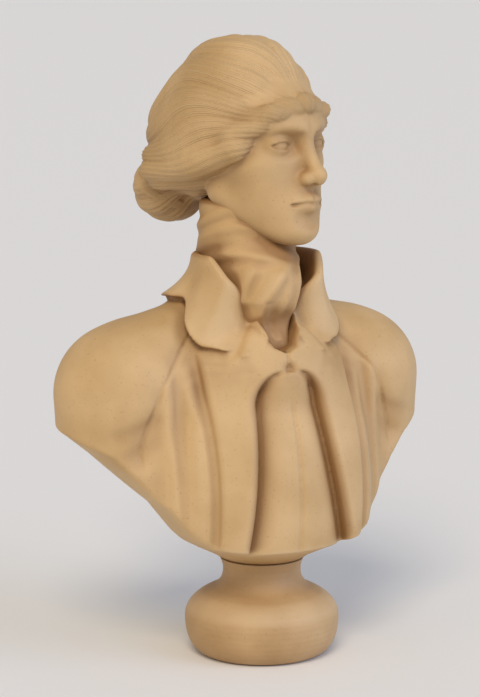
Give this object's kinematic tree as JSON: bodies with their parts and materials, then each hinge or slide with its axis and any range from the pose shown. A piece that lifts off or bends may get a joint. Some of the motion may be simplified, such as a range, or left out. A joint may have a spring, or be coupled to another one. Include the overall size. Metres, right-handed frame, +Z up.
{
  "type": "bust",
  "caption": "Small bust of a man in late eighteenth-century dress, cut to a taper below and set on a round waisted foot that stands on a shelf.",
  "frame": {"origin": "centre of the socle's flat underside", "axes": "+Z up, the chest faces -Y, the figure's right is -X"},
  "size_m": [0.148, 0.0937, 0.23],
  "materials": {
    "bust": "unglazed buff biscuit stoneware, matte to slightly satin",
    "socle": "unglazed buff biscuit stoneware, turned, matte to slightly satin"
  },
  "bodies": {
    "root": {"bust": "bust", "socle": "socle"}
  },
  "joints": []
}
